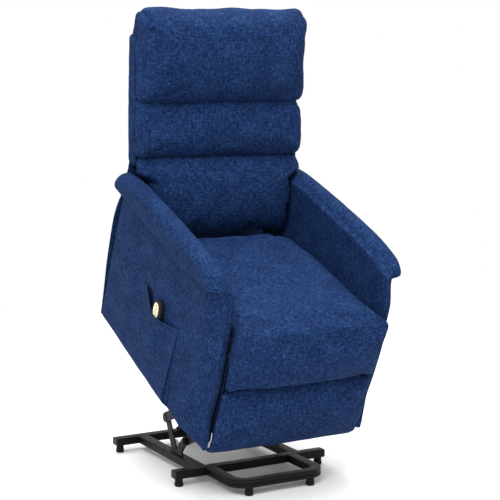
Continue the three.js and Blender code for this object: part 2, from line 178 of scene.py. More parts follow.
def rounded_prism(outline, half_width, edge, crown=0.0, columns=61, middle=0.0):
    """A flat outline (back, up) carried across the chair. Within edge of either end it shrinks
    along its own normals by edge minus the height of a quarter circle. Elsewhere it grows by
    crown times one minus the square of the distance from the middle over the half width."""
    share = np.linspace(-1, 1, columns)
    across = half_width * np.sin(share * math.pi / 2)
    beyond = rise(np.abs(across), half_width - edge, edge)
    inset = edge * (1 - np.sqrt(1 - beyond**2))
    swell = crown * (1 - (across / half_width) ** 2) - inset
    normal = outward(outline)
    flat = outline[None] + swell[:, None, None] * normal[None]
    x = np.broadcast_to((middle + across)[:, None, None], (columns, len(outline), 1))
    plan = np.column_stack([np.zeros(len(outline)), outline])
    return loft(np.concatenate([x, flat], axis=2), plan)


def tube_along(path, section, closed=False, normal=(0, 0, 1)):
    """A flat section (side, up) carried along a path: side is square to the path and to normal."""
    path = np.asarray(path, float)
    if closed:
        along = np.roll(path, -1, 0) - np.roll(path, 1, 0)
    else:
        along = np.gradient(path, axis=0)
    along /= np.linalg.norm(along, axis=1, keepdims=True)
    side = np.cross(along, np.asarray(normal, float))
    side /= np.linalg.norm(side, axis=1, keepdims=True)
    up = np.cross(side, along)
    rings = path[:, None] + section[None, :, :1] * side[:, None] + section[None, :, 1:] * up[:, None]
    if closed:
        rows, count, _ = rings.shape
        quads = grid_quads(rows + 1, count, True) % (rows * count)
        return rings.reshape(-1, 3), quads.tolist()
    return loft(rings)


def circle(radius, count=10):
    """A circle as a section."""
    turn = np.linspace(0, 2 * math.pi, count, endpoint=False)
    return radius * np.stack([np.cos(turn), np.sin(turn)], axis=1)


def rounded_rectangle(width, height, radius, steps=4):
    """A rectangle with quarter-circle corners, as a section."""
    turn = np.linspace(0, math.pi / 2, steps + 1)
    quarter = radius * np.stack([np.cos(turn), np.sin(turn)], axis=1)
    corners = []
    for index, (x, y) in enumerate([(1, 1), (-1, 1), (-1, -1), (1, -1)]):
        turned = quarter @ np.linalg.matrix_power(np.array([[0, 1], [-1, 0]]), index)
        corners.append(turned + [x * (width / 2 - radius), y * (height / 2 - radius)])
    return np.vstack(corners)


def turned(profile, axis_point, axis, segments=24):
    """A profile (radius, along) revolved about an axis: points are the axis plus radius times the
    unit circle square to it."""
    profile = np.asarray(profile, float)
    axis = np.asarray(axis, float) / np.linalg.norm(axis)
    helper = np.array([0.0, 0.0, 1.0]) if abs(axis[2]) < 0.9 else np.array([1.0, 0.0, 0.0])
    first = np.cross(helper, axis)
    first /= np.linalg.norm(first)
    second = np.cross(axis, first)
    turn = np.linspace(0, 2 * math.pi, segments, endpoint=False)
    ring = np.cos(turn)[:, None] * first + np.sin(turn)[:, None] * second
    loops = profile[:, None, :1] * ring[None] + profile[:, None, 1:] * axis
    return loft(np.asarray(axis_point, float) + loops)


def together(*shapes):
    """Several (points, faces) pairs as one."""
    points, faces, total = [], [], 0
    for part_points, part_faces in shapes:
        points.append(part_points)
        faces += [[corner + total for corner in face] for face in part_faces]
        total += len(part_points)
    return np.vstack(points), faces


def ripple(points, sizes, seed):
    """A smooth uneven field from -1 to 1: the mean of sine waves in seeded directions."""
    rng = np.random.default_rng(seed)
    total = np.zeros(len(points))
    for size in sizes:
        for _ in range(3):
            direction = rng.normal(size=points.shape[1])
            direction /= np.linalg.norm(direction)
            phase = rng.uniform(0, 2 * math.pi)
            total += np.sin(points @ direction * (2 * math.pi / size) + phase)
    return total / (3 * len(sizes))


def rise(value, start, over):
    """Nought up to start, one from start plus over on, and a straight slope between."""
    return np.clip((value - start) / over, 0, 1)


def fall(value, end, over):
    """One up to end minus over, nought from end on, and a straight slope between."""
    return np.clip((end - value) / over, 0, 1)


def bell(distance, width):
    """One at no distance, falling off as a Gaussian of that width."""
    return np.exp(-((distance / width) ** 2))


# ---- meshes ---------------------------------------------------------------------------------


def make_piece(name, shape, in_chair=True):
    """A new object with its place in its mesh. Faces are turned outwards."""
    points, faces = shape
    points = placed(points) if in_chair else MM * np.asarray(points, float)
    mesh = bpy.data.meshes.new(name)
    mesh.from_pydata(points.tolist(), [], faces)
    mesh.validate()
    mesh.update()
    piece = bpy.data.objects.new(name, mesh)
    bpy.context.scene.collection.objects.link(piece)
    face_outwards(piece)
    shade_smooth(piece)
    return piece


def face_outwards(piece):
    """Recalculates the normals so that they point away from the inside."""
    bpy.ops.object.select_all(action="DESELECT")
    bpy.context.view_layer.objects.active = piece
    piece.select_set(True)
    bpy.ops.object.mode_set(mode="EDIT")
    bpy.ops.mesh.select_all(action="SELECT")
    bpy.ops.mesh.normals_make_consistent(inside=False)
    bpy.ops.object.mode_set(mode="OBJECT")
    piece.select_set(False)


def shade_smooth(piece, sharp_above=None):
    """Smooth shading, with edges sharper than an angle in degrees left crisp."""
    piece.data.polygons.foreach_set("use_smooth", np.ones(len(piece.data.polygons), bool))
    if sharp_above is not None:
        piece.data.set_sharp_from_angle(angle=math.radians(sharp_above))


def apply_modifiers(piece):
    """Leaves the mesh as its modifiers make it, without them."""
    graph = bpy.context.evaluated_depsgraph_get()
    mesh = bpy.data.meshes.new_from_object(piece.evaluated_get(graph))
    piece.modifiers.clear()
    old, piece.data = piece.data, mesh
    bpy.data.meshes.remove(old)
    shade_smooth(piece)


def corners_of(piece):
    """The vertices as an array."""
    points = np.empty(len(piece.data.vertices) * 3)
    piece.data.vertices.foreach_get("co", points)
    return points.reshape(-1, 3)


def normals_of(piece):
    """The vertex normals, in the chair's own frame."""
    normals = np.empty(len(piece.data.vertices) * 3)
    piece.data.vertices.foreach_get("normal", normals)
    return normals.reshape(-1, 3) @ AXES.T


def set_corners(piece, points):
    """Puts an array of points back into the vertices."""
    piece.data.vertices.foreach_set("co", np.asarray(points, np.float32).ravel())
    piece.data.update()


def reshape(piece, change):
    """Moves every vertex by change(points, normals), all in the chair's frame and millimetres."""
    points = chair_coordinates(corners_of(piece))
    set_corners(piece, placed(points + change(points, normals_of(piece))))


def even_skin(piece, voxel, smoothing=4):
    """Remeshes a closed shape, or several that overlap, into one skin of small quads."""
    remesh = piece.modifiers.new("skin", "REMESH")
    remesh.mode = "VOXEL"
    remesh.voxel_size = voxel * MM
    smooth = piece.modifiers.new("soften", "SMOOTH")
    smooth.factor = 0.5
    smooth.iterations = smoothing
    apply_modifiers(piece)


SWELL_FRAMES = 20


def swell(piece, held, pressure, cap):
    """Blows the cloth up from the inside. held marks the vertices that stay, and no vertex moves
    further than cap."""
    start = corners_of(piece)
    group = piece.vertex_groups.new(name="held")
    group.add(np.flatnonzero(held).tolist(), 1.0, "REPLACE")
    cloth = piece.modifiers.new("swell", "CLOTH")
    cloth.settings.quality = 4
    cloth.settings.mass = 0.3
    cloth.settings.tension_stiffness = 12
    cloth.settings.compression_stiffness = 12
    cloth.settings.shear_stiffness = 5
    cloth.settings.bending_stiffness = 0.4
    cloth.settings.use_pressure = True
    cloth.settings.uniform_pressure_force = pressure
    cloth.settings.effector_weights.gravity = 0
    cloth.settings.vertex_group_mass = "held"
    cloth.collision_settings.use_collision = False
    cloth.point_cache.frame_start = 1
    cloth.point_cache.frame_end = SWELL_FRAMES
    scene = bpy.context.scene
    for number in range(1, SWELL_FRAMES + 1):
        scene.frame_set(number)
    apply_modifiers(piece)
    scene.frame_set(1)
    piece.vertex_groups.clear()
    moved = corners_of(piece) - start
    length = np.maximum(np.linalg.norm(moved, axis=1, keepdims=True), 1e-9)
    limit = cap * MM
    eased = limit * np.tanh(length / limit)
    set_corners(piece, start + moved / length * eased)


def divide(piece):
    """One more level of smooth subdivision."""
    finer = piece.modifiers.new("finer", "SUBSURF")
    finer.levels = 1
    finer.render_levels = 1
    apply_modifiers(piece)


def lay_weave(piece):
    """Gives a piece its weave map in metres: each face is seen along the axis of the chair's own
    frame that it faces most, and its corners take the other two coordinates."""
    mesh = piece.data
    points = chair_coordinates(corners_of(piece)) * MM
    loops = np.empty(len(mesh.loops), np.int32)
    mesh.loops.foreach_get("vertex_index", loops)
    face_of_loop = np.repeat(
        np.arange(len(mesh.polygons)),
        np.array([polygon.loop_total for polygon in mesh.polygons], np.int32),
    )
    normals = np.empty(len(mesh.polygons) * 3)
    mesh.polygons.foreach_get("normal", normals)
    facing = np.argmax(np.abs(normals.reshape(-1, 3) @ AXES.T), axis=1)[face_of_loop]
    at = points[loops]
    planes = np.array([[1, 2], [0, 2], [0, 1]])[facing]
    weave = np.take_along_axis(at, planes, axis=1)
    layer = mesh.uv_layers.get("weave") or mesh.uv_layers.new(name="weave")
    layer.data.foreach_set("uv", weave.astype(np.float32).ravel())


def finish_piece(piece, body, slot_name, material, *nodes):
    """Gives a piece its material and its body, and hides the CAD nodes that it stands for. slot_name is not used.
    """
    piece.data.materials.clear()
    piece.data.materials.append(material)
    if material.name.startswith("cloth"):
        lay_weave(piece)
    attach(piece, body)
    if nodes:
        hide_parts(*nodes)
    return piece


# ---- materials ------------------------------------------------------------------------------


class Finish:
    """A material whose nodes are added one by one."""

    def __init__(self, name):
        """Starts from a plain shader."""
        self.material = bpy.data.materials.new(name)
        self.material.use_nodes = True
        self.tree = self.material.node_tree
        self.shader = self.tree.nodes["Principled BSDF"]

    def add(self, kind, values=(), **settings):
        """A new node with its settings and with values or links on its inputs."""
        node = self.tree.nodes.new("ShaderNode" + kind)
        for key, value in settings.items():
            setattr(node, key, value)
        for socket, value in dict(values).items():
            self.feed(node, socket, value)
        return node

    def feed(self, node, socket, value):
        """Links an output to an input, or sets the input to a constant."""
        if isinstance(value, bpy.types.NodeSocket):
            self.tree.links.new(value, node.inputs[socket])
        else:
            node.inputs[socket].default_value = value

    def sum(self, first, second, operation="ADD"):
        """Two values added, or put through another operation."""
        return self.add("Math", {0: first, 1: second}, operation=operation).outputs[0]

    def noise(self, vector, scale, detail=2.0, roughness=0.5):
        """Smooth noise between nought and one."""
        values = {"Vector": vector, "Scale": scale, "Detail": detail, "Roughness": roughness}
        return self.add("TexNoise", values).outputs["Fac"]

    def stretched(self, vector, scale):
        """Coordinates scaled along their own axes."""
        values = {"Vector": vector, "Scale": scale}
        return self.add("Mapping", values).outputs["Vector"]

    def ramp(self, factor, stops):
        """A colour between the stops, each a position and a colour."""
        node = self.add("ValToRGB", {"Fac": factor})
        elements = node.color_ramp.elements
        while len(elements) < len(stops):
            elements.new(0.5)
        for element, (position, colour) in zip(elements, stops):
            element.position = position
            element.color = (*colour, 1.0)
        return node.outputs["Color"]

    def bump(self, height, strength, distance):
        """Raises the surface by a height."""
        values = {"Height": height, "Strength": strength, "Distance": distance}
        node = self.add("Bump", values)
        self.feed(self.shader, "Normal", node.outputs["Normal"])


def cloth_finish(name, dark, mid, light, pitch):
    """Heathered plain weave: long slubs in both thread directions set the colour between three
    shades, broad mottling shifts it, and the crossing threads and the slubs raise the surface."""
    finish = Finish(name)
    weave = finish.add("UVMap", uv_map="weave").outputs["UV"]
    weft = finish.noise(finish.stretched(weave, (55, 240, 1)), 1.0, 2.0, 0.6)
    warp = finish.noise(finish.stretched(weave, (230, 50, 1)), 1.0, 2.0, 0.6)
    fleck = finish.noise(finish.stretched(weave, (120, 130, 1)), 1.0, 3.0, 0.65)
    mottle = finish.noise(finish.stretched(weave, (14, 17, 1)), 1.0, 3.0, 0.6)
    slubs = finish.sum(finish.sum(weft, warp), 0.5, "MULTIPLY")
    mixed = finish.sum(finish.sum(slubs, 0.55, "MULTIPLY"), finish.sum(fleck, 0.3, "MULTIPLY"))
    mixed = finish.sum(mixed, finish.sum(mottle, 0.15, "MULTIPLY"))
    spread = finish.add("MapRange", {"Value": mixed, "From Min": 0.40, "From Max": 0.60})
    colour = finish.ramp(spread.outputs[0], [(0.0, dark), (0.5, mid), (1.0, light)])
    finish.feed(finish.shader, "Base Color", colour)
    split = finish.add("SeparateXYZ", {"Vector": weave})
    turns = 2 * math.pi / pitch
    threads = [
        finish.sum(finish.sum(split.outputs[axis], turns, "MULTIPLY"), 0.0, "SINE")
        for axis in ("X", "Y")
    ]
    crossing = finish.sum(finish.sum(threads[0], threads[1], "MULTIPLY"), 0.35, "MULTIPLY")
    finish.bump(finish.sum(crossing, finish.sum(slubs, 1.8, "MULTIPLY")), 0.55, 0.0007)
    rough = finish.add("MapRange", {"Value": fleck, "To Min": 0.8, "To Max": 0.98})
    finish.feed(finish.shader, "Roughness", rough.outputs[0])
    finish.shader.inputs["Specular IOR Level"].default_value = 0.08
    return finish.material


def grained_finish(name, dark, light, scale, rough, strength, metallic=0.0, stretch=(1, 1, 1)):
    """A hard finish: noise at one scale sets its shade, its roughness and its fine relief."""
    finish = Finish(name)
    place = finish.add("TexCoord").outputs["Object"]
    grain = finish.noise(finish.stretched(place, stretch), scale, 4.0, 0.6)
    broad = finish.noise(finish.stretched(place, stretch), scale / 12, 3.0, 0.55)
    shade = finish.sum(finish.sum(grain, 0.4, "MULTIPLY"), finish.sum(broad, 0.6, "MULTIPLY"))
    finish.feed(finish.shader, "Base Color", finish.ramp(shade, [(0.35, dark), (0.65, light)]))
    low, high = rough
    ranged = finish.add("MapRange", {"Value": broad, "From Min": 0.3, "From Max": 0.7})
    finish.feed(ranged, "To Min", low)
    finish.feed(ranged, "To Max", high)
    finish.feed(finish.shader, "Roughness", ranged.outputs[0])
    finish.shader.inputs["Metallic"].default_value = metallic
    finish.shader.inputs["Specular IOR Level"].default_value = 0.14
    finish.bump(grain, strength, 0.0004)
    return finish.material


FINISHES = {}


def make_finishes(settings):
    """All the materials, kept by name."""
    cloth = np.array(settings.cloth_colour)
    FINISHES["cloth"] = cloth_finish(
        "cloth_blue_linen", cloth * (0.35, 0.38, 0.42), cloth, cloth * (3.2, 2.4, 1.85), settings.weave_pitch
    )
    # Painted highlight: the welt's cloth is the blue cloth made two to six times brighter, for the light along the
    # piping.
    FINISHES["welt"] = cloth_finish(
        "cloth_welt_painted_highlight", cloth * 2.0, cloth * (4.0, 3.0, 2.5), cloth * (6.0, 4.0, 3.2), settings.weave_pitch
    )
    FINISHES["thread"] = grained_finish(
        "navy_thread", (0.004, 0.008, 0.02), (0.008, 0.014, 0.035), 900, (0.7, 0.9), 0.2
    )
    FINISHES["paint"] = grained_finish(
        "satin_black_paint", (0.0025, 0.0023, 0.002), (0.006, 0.0055, 0.005), 700, (0.42, 0.6), 0.12
    )
    FINISHES["rubber"] = grained_finish(
        "moulded_rubber", (0.0035, 0.0035, 0.0035), (0.007, 0.007, 0.007), 500, (0.6, 0.8), 0.25
    )
    FINISHES["zinc"] = grained_finish(
        "bright_zinc", (0.35, 0.36, 0.38), (0.55, 0.56, 0.58), 160, (0.25, 0.45), 0.1, 1.0
    )
    FINISHES["timber"] = grained_finish(
        "sawn_timber", (0.28, 0.17, 0.08), (0.5, 0.34, 0.18), 60, (0.6, 0.8), 0.3, 0.0, (0.15, 1, 1)
    )
    FINISHES["plastic"] = grained_finish(
        "grained_black_plastic", (0.007, 0.007, 0.008), (0.013, 0.013, 0.014), 1500, (0.4, 0.55), 0.3
    )
    FINISHES["cream"] = grained_finish(
        "cream_plastic", (0.62, 0.56, 0.34), (0.72, 0.66, 0.44), 90, (0.3, 0.42), 0.05
    )
    # Painted shade: a near-black cloth with little reflection, put on sheets and boards in gaps and hollows to
    # stand for the shade there.
    FINISHES["painted_shade"] = grained_finish(
        "painted_shade_cloth", (0.002, 0.005, 0.014), (0.004, 0.009, 0.026), 800, (0.8, 0.95), 0.3
    )
    painted_shade = FINISHES["painted_shade"].node_tree.nodes["Principled BSDF"]
    painted_shade.inputs["Specular IOR Level"].default_value = 0.04
    FINISHES["tape"] = grained_finish(
        "pale_tape", (0.3, 0.31, 0.38), (0.4, 0.41, 0.48), 400, (0.7, 0.85), 0.2
    )


# ---- cushions -------------------------------------------------------------------------------

VOXEL = 6.5  # size of a remeshed cushion's quads, in millimetres
FIRM = 56.0  # depth in front of the outside of the back within which the cushions stay put


def cushion(name, points, settings, held, change, half_width, edge, crown):
    """A stuffed piece: a rounded prism over a smooth outline, skinned, blown up, subdivided, and
    then given the uneven shape of change(points, normals)."""
    outline = smooth_loop(points, 260)
    piece = make_piece(name, rounded_prism(outline, half_width, edge, crown))
    even_skin(piece, VOXEL)
    points = chair_coordinates(corners_of(piece))
    swell(piece, held(points), settings.swell_pressure, settings.swell_limit / MM)
    divide(piece)
    reshape(piece, change)
    return piece


def sewn_waves(points):
    """The cross seams of the back aren't quite straight: near each one the cloth lies a few
    millimetres higher or lower, as a slow wave across the chair."""
    x, _, up = points.T
    upper = 3.2 * np.sin(x / 88 + 0.6) + 1.8 * np.sin(x / 37 + 2.0) - 3.0
    lower = 2.4 * np.sin(x / 104 + 2.2) + 1.4 * np.sin(x / 41)
    moved = np.zeros_like(points)
    moved[:, 2] = upper * bell(up - 742, 34) + lower * bell(up - 576, 30)
    return moved


def puckers(points, normals, seam, depth, reach):
    """Short folds that run off a cross seam at one height and die out within reach of it."""
    x, _, up = points.T
    folds = np.sin(x / 5.2 + 2.5 * np.sin(x / 47)) * (0.5 + 0.5 * np.sin(x / 63 + 1.0))
    ends = 0.35 + 0.65 * rise(np.abs(x), 150, 120)
    return normals * (depth * folds * ends * bell(up - seam, reach))[:, None]


def soft_uneven(points, normals, depth, seed):
    """Broad shallow hollows of well-used stuffing."""
    return normals * (depth * ripple(points, (210, 120, 70), seed))[:, None]


def boxed_edge(points, normals, behind, depth):
    """A sewn edge on the side faces at one distance in front of the outside of the back: the cloth
    is pulled in along it."""
    distance = back_at(points[:, 2]) - points[:, 1] - behind
    side = rise(np.abs(normals[:, 0]), 0.35, 0.3)
    return -normals * (depth * bell(distance, 3.6) * side)[:, None]


def round_corners(points, half_width, top, radius):
    """Turns the upper corners, seen from the front, from square to round: within radius of both
    edges a point is drawn in by its larger offset over the length of its offset."""
    x = np.abs(points[:, 0]) - (half_width - radius)
    up = points[:, 2] - (top - radius)
    inside = (x > 0) & (up > 0)
    length = np.maximum(np.hypot(x, up), 1e-6)
    share = np.where(inside, np.maximum(x, up) / length - 1, 0)
    moved = np.zeros_like(points)
    moved[:, 0] = np.sign(points[:, 0]) * x * share
    moved[:, 2] = up * share
    return moved


def make_chaise(settings):
    """The seat and the calf section that runs on from it over the front edge, in one."""
    points = [
        (592, 300), (597, 342), (562, 362), (430, 376), (215, 382), (70, 392), (22, 394), (-3, 388),
        (-10, 364), (-12, 330), (-12, 290), (-9, 245), (-3, 214), (8, 202), (24, 205), (27, 284),
        (44, 300), (90, 298),
    ]  # fmt: skip

    def held(p):
        """What rests on a board, and so keeps its shape."""
        return ((p[:, 2] < 303) & (p[:, 1] > 45)) | ((p[:, 1] > 22) & (p[:, 2] < 292))

    def change(p, n):
        """The front edge is wider, its corners come forward, and the sides sag to the rear."""
        x, back, up = p.T
        corner = bell(np.hypot(back - 2, up - 388), 26) * rise(np.abs(x), 205, 45) ** 2
        moved = np.zeros_like(p)
        moved[:, 0] = np.sign(x) * 7.0 * bell(up - 375, 45) * fall(back, 28, 20)
        moved[:, 1] = -7.0 * corner
        moved[:, 2] = 5.0 * corner
        drop = rise(np.abs(x), 120, 130) ** 2 * bell(back - 600, 170)
        moved[:, 2] -= 26 * drop * rise(up, 320, 40)
        moved += soft_uneven(p, n, depth=2.2, seed=11)
        return moved + puckers(p, n, seam=204, depth=1.3, reach=16)

    crown = settings.seat_crown / MM
    seat = cushion("seat_chaise", points, settings, held, change, half_width=253, edge=11, crown=crown)
    finish_piece(seat, "chair", "cloth", FINISHES["cloth"], "seat_cushion", "calf_pad")
    seat.parent = None
    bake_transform(seat)


def make_foot_cushion(settings):
    """The lowest section of the legrest, rolled under at its end."""
    points = [
        (9, 192), (0, 178), (-3, 140), (-4, 83), (3, 30), (13, -8), (26, -30), (43, -31), (46, -20),
        (28, -8), (27, 90), (27, 186), (19, 194),
    ]  # fmt: skip

    def held(p):
        """What rests on a board, and so keeps its shape."""
        return p[:, 1] > 24

    def change(p, n):
        """Uneven stuffing, and folds at the upper seam."""
        return soft_uneven(p, n, depth=1.8, seed=21) + puckers(p, n, seam=192, depth=1.4, reach=15)

    foot = cushion("foot_cushion", points, settings, held, change, half_width=253.5, edge=11, crown=3)
    finish_piece(foot, "legrest", "cloth", FINISHES["cloth"], "foot_pad")


def make_lumbar_cushion(settings):
    """The lowest back cushion: between the arms below, and as wide as the others above them."""
    points = [
        (634, 350), (706, 350), (713, 400), (720, 521), (744, 572), (712, 573), (688, 557),
        (652, 502), (631, 450), (622, 400), (624, 364),
    ]  # fmt: skip

    def held(p):
        """What rests on a board, and so keeps its shape."""
        return p[:, 1] > np.interp(p[:, 2], [520, 570], [706, 726])

    def change(p, n):
        """Uneven stuffing and folds, and a flare beyond the reach of the arms round the pivot."""
        moved = sewn_waves(p) + soft_uneven(p, n, depth=2.4, seed=31)
        moved += puckers(p, n, seam=571, depth=1.5, reach=18)
        moved += puckers(p, n, seam=352, depth=1.5, reach=22)
        reach = np.hypot(p[:, 1] - RECLINE_PIVOT[1], p[:, 2] - RECLINE_PIVOT[2])
        flare = 0.165
        moved[:, 0] += p[:, 0] * flare * rise(reach, 280, 28)
        return moved

    piece = cushion("lumbar_roll", points, settings, held, change, half_width=247, edge=14, crown=10)
    finish_piece(piece, "back", "cloth", FINISHES["cloth"], "lumbar_cushion")


def make_middle_cushion(settings):
    """The middle back cushion, above the arms."""
    points = [
        (722, 585), (752, 586), (813, 736), (776, 736), (757, 724), (722, 665), (707, 620), (708, 600),
    ]  # fmt: skip

    def held(p):
        """What rests on a board, and so keeps its shape."""
        return p[:, 1] > back_at(p[:, 2]) - FIRM

    def change(p, n):
        """Uneven stuffing, a sewn edge on the sides, and folds at both cross seams."""
        moved = sewn_waves(p) + soft_uneven(p, n, depth=2.2, seed=41)
        moved += boxed_edge(p, n, behind=70, depth=2.0)
        moved = moved + puckers(p, n, seam=580, depth=1.5, reach=18)
        return moved + puckers(p, n, seam=738, depth=1.5, reach=18)

    piece = cushion("middle_roll", points, settings, held, change, half_width=288, edge=14, crown=8)
    finish_piece(piece, "back", "cloth", FINISHES["cloth"], "middle_cushion")


def make_head_cushion(settings):
    """The head cushion, higher than the shell behind it, with rounded upper corners."""
    points = [
        (778, 749), (818, 749), (880, 896), (914, 904), (923, 945), (916, 992), (893, 1014),
        (864, 1013), (836, 994), (811, 956), (784, 893), (767, 830), (762, 787), (766, 762),
    ]  # fmt: skip

    def held(p):
        """What rests on a board, and so keeps its shape."""
        return (p[:, 1] > back_at(p[:, 2]) - FIRM) & (p[:, 2] < 900)

    def change(p, n):
        """Uneven stuffing, a sewn edge on the sides, folds at the lower seam, a wavy top and wavy
        sides, and rounded upper corners."""
        x, _, up = p.T
        moved = sewn_waves(p) + soft_uneven(p, n, depth=2.6, seed=51)
        moved += boxed_edge(p, n, behind=100, depth=2.2)
        moved += puckers(p, n, seam=746, depth=1.6, reach=20)
        wavy = 1.6 * np.sin(x / 46 + 0.4) + 1.0 * np.sin(x / 19) + 0.014 * x
        moved[:, 2] += rise(up, 940, 50) * wavy
        edge = rise(np.abs(x), 262, 28) * (2.2 * np.sin(up / 17) + 1.6 * np.sin(up / 31))
        moved[:, 0] += np.sign(x) * edge
        return moved + round_corners(p, half_width=292, top=1016, radius=36)

    piece = cushion("head_roll", points, settings, held, change, half_width=288, edge=16, crown=9)
    finish_piece(piece, "back", "cloth", FINISHES["cloth"], "head_cushion")


# ---- shell and covers -----------------------------------------------------------------------


SHELL_HALF = 293.0
SHELL_TOP = 915.0


def back_strip(low, high, depth):
    """The outline, between two heights, from the outside of the back to a depth in front of it."""
    heights = np.linspace(low, high, 30)
    rear = np.stack([back_at(heights), heights], axis=1)
    front = np.stack([back_at(heights) - depth, heights], axis=1)[::-1]
    return evenly(np.vstack([rear, front]), 240, True)


def make_back_shell(_):
    """The covered shell behind the cushions: a plate with a wing along each side."""
    plate = rounded_prism(back_strip(547, SHELL_TOP, 13), SHELL_HALF, edge=4)
    wing = back_strip(549, SHELL_TOP, 47)
    half = 7.0
    wings = [
        rounded_prism(wing, half, edge=3, columns=15, middle=side * (SHELL_HALF - half))
        for side in SIDES.values()
    ]
    shell = make_piece("covered_shell", together(plate, *wings))
    even_skin(shell, 5)

    def change(p, n):
        """Rounded upper corners, wings cut lower at the front, and slightly uneven cloth."""
        front = back_at(p[:, 2]) - p[:, 1]
        moved = round_corners(p, SHELL_HALF, SHELL_TOP, radius=16)
        lower = rise(front, 18, 30) ** 2 * rise(p[:, 2], 870, 35)
        moved[:, 2] -= 5 * lower
        return moved + n * (0.8 * ripple(p, (90, 40), 61))[:, None]

    reshape(shell, change)
    finish_piece(shell, "back", "cloth", FINISHES["cloth"], "back_shell")


def make_rear_cover(_):
    """The loose cover of the outside of the back below the shell. It hangs clear of the side panels."""
    line = smooth_line(
        [(789, 566), (782, 548), (771, 518), (766, 485), (770, 446), (788, 392), (801, 330), (803, 260),
         (797, 174), (786, 92), (774, -14)],
        160,
    )  # fmt: skip
    slope = np.gradient(line, axis=0)
    slope /= np.linalg.norm(slope, axis=1, keepdims=True)
    thickness = 4.5
    inner = line + thickness * np.stack([slope[:, 1], -slope[:, 0]], axis=1)
    sheet = rounded_prism(np.vstack([line, inner[::-1]]), 294, edge=2, columns=90)
    cover = make_piece("rear_cover", sheet)

    def change(p, n):
        """Slow waves, and a top that narrows into the shell."""
        moved = n * (1.5 * ripple(p, (260, 120), 71))[:, None]
        moved[:, 0] -= p[:, 0] * 0.03 * rise(p[:, 2], 500, 45)
        return moved

    reshape(cover, change)
    finish_piece(cover, "chair", "cloth", FINISHES["cloth"], "back_lower_panel", "rear_skirt")
    cover.parent = None
    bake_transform(cover)


# ---- arms -----------------------------------------------------------------------------------

FRONT_EDGE = np.array([[0, 38], [100, 34], [205, 28], [290, 34], [425, 44], [498, 64]], float)
SEAM_LINE = np.array(
    [[66, 499], [84, 494], [110, 485], [136, 477], [193, 466], [308, 453], [480, 449], [750, 446]], float
)
HEM_LINE = np.array([[17, -13], [60, -11], [180, -5], [750, -1]], float)
ARM_INNER = 258.0  # distance of the panel's inner face from the middle of the chair
ARM_DEPTH = 44.0  # thickness of a side panel
PAD_UNDERSIDE = 440.0  # height above which an arm is all padded top
POST = 17.0  # thickness of a side panel at its very front
INNER_STITCH = 3.5  # distance of the first sewn line from the panel's inner face


def front_edge(height):
    """How far back the front of a side panel lies at a height."""
    return np.interp(height, FRONT_EDGE[:, 0], FRONT_EDGE[:, 1])


def arm_form(side):
    """A side panel, its padded top and the cover of its inner face, overlapping."""
    front = [(back, up) for up, back in FRONT_EDGE[::-1]]
    panel = [*SEAM_LINE[1:], (747, 0), *HEM_LINE[::-1][1:], *front[::-1][1:-1]]
    panel = evenly(np.array(panel, float), 420, True)
    pad = smooth_loop(
        [(76, 487), (110, 477), (200, 462), (308, 451), (520, 447), (735, 446), (800, 448),
         (815, 470), (800, 500), (700, 527), (575, 538), (360, 548), (222, 548), (128, 537),
         (88, 523), (74, 506)],
        300,
    )  # fmt: skip
    lining = [*front[::-1][1:], (90, 508), (130, 515), (300, 522), (560, 514), (700, 506), (747, 480)]
    lining = evenly(np.array([*lining, (747, 200), (60, 200)], float), 300, True)
    return together(
        rounded_prism(panel, ARM_DEPTH / 2, 8, columns=31, middle=side * (ARM_INNER + ARM_DEPTH / 2)),
        rounded_prism(pad, 31.5, edge=29, crown=2, columns=41, middle=side * 296.5),
        rounded_prism(lining, 13, edge=4, columns=21, middle=side * 267.5),
    )


def arm_change(side):
    """The shape of an arm after skinning: the front tapers from the post, the outer face is full,
    and the sewn lines are drawn in."""

    def change(p, n):
        """The taper, the full outer face, the rear end, the nose and the sewn lines."""
        x, back, up = side * p[:, 0], p[:, 1], p[:, 2]
        seam = np.interp(back, SEAM_LINE[:, 0], SEAM_LINE[:, 1])
        below = fall(up, seam + 6, 12)
        slope = np.interp(up, [0, 260], [0.27, 0.44])
        room = np.clip(POST + slope * (back - front_edge(up)), POST, ARM_DEPTH)
        moved = np.zeros_like(p)
        thinned = np.where(x > ARM_INNER, (x - ARM_INNER) * (room / ARM_DEPTH - 1), 0)
        moved[:, 0] += side * thinned * below
        outer = rise(side * n[:, 0], 0.3, 0.4)
        full = np.sin(rise(up, 0, seam) * math.pi) * rise(back, 60, 120)
        moved += n * (2.5 * full * outer + 1.0 * ripple(p, (240, 110, 60), 81))[:, None]
        drawn = 4.5 * bell(up - seam + 4, 5) * rise(x, 262, 12)
        end = np.interp(up, [446, 477, 518, 560], [768, 767, 754, 737])
        moved[:, 1] += np.where(up > PAD_UNDERSIDE, np.minimum(end - back, 0), 0)
        nose = bell(back - 66, 48) * rise(up, PAD_UNDERSIDE, 20)
        moved[:, 0] -= side * np.maximum(x - 296, 0) * 0.4 * nose
        band = 1.8 * bell(x - ARM_INNER - POST, 3.5) * bell(np.maximum(back - front_edge(up) - 6, 0), 8)
        return moved - n * (drawn + band * below)[:, None]

    return change


def on_surface(piece, starts, direction, lift):
    """Where rays from the starts first meet a piece, lifted off it along its face."""
    mesh = piece.data
    tree = BVHTree.FromPolygons(
        [vertex.co.copy() for vertex in mesh.vertices],
        [tuple(polygon.vertices) for polygon in mesh.polygons],
    )
    way = Vector(np.asarray(direction, float) @ AXES)
    found = []
    for start in placed(starts):
        hit, normal, _, _ = tree.ray_cast(Vector(start), way)
        if hit is not None:
            found.append(hit + normal * lift * MM)
    return chair_coordinates(np.array(found))


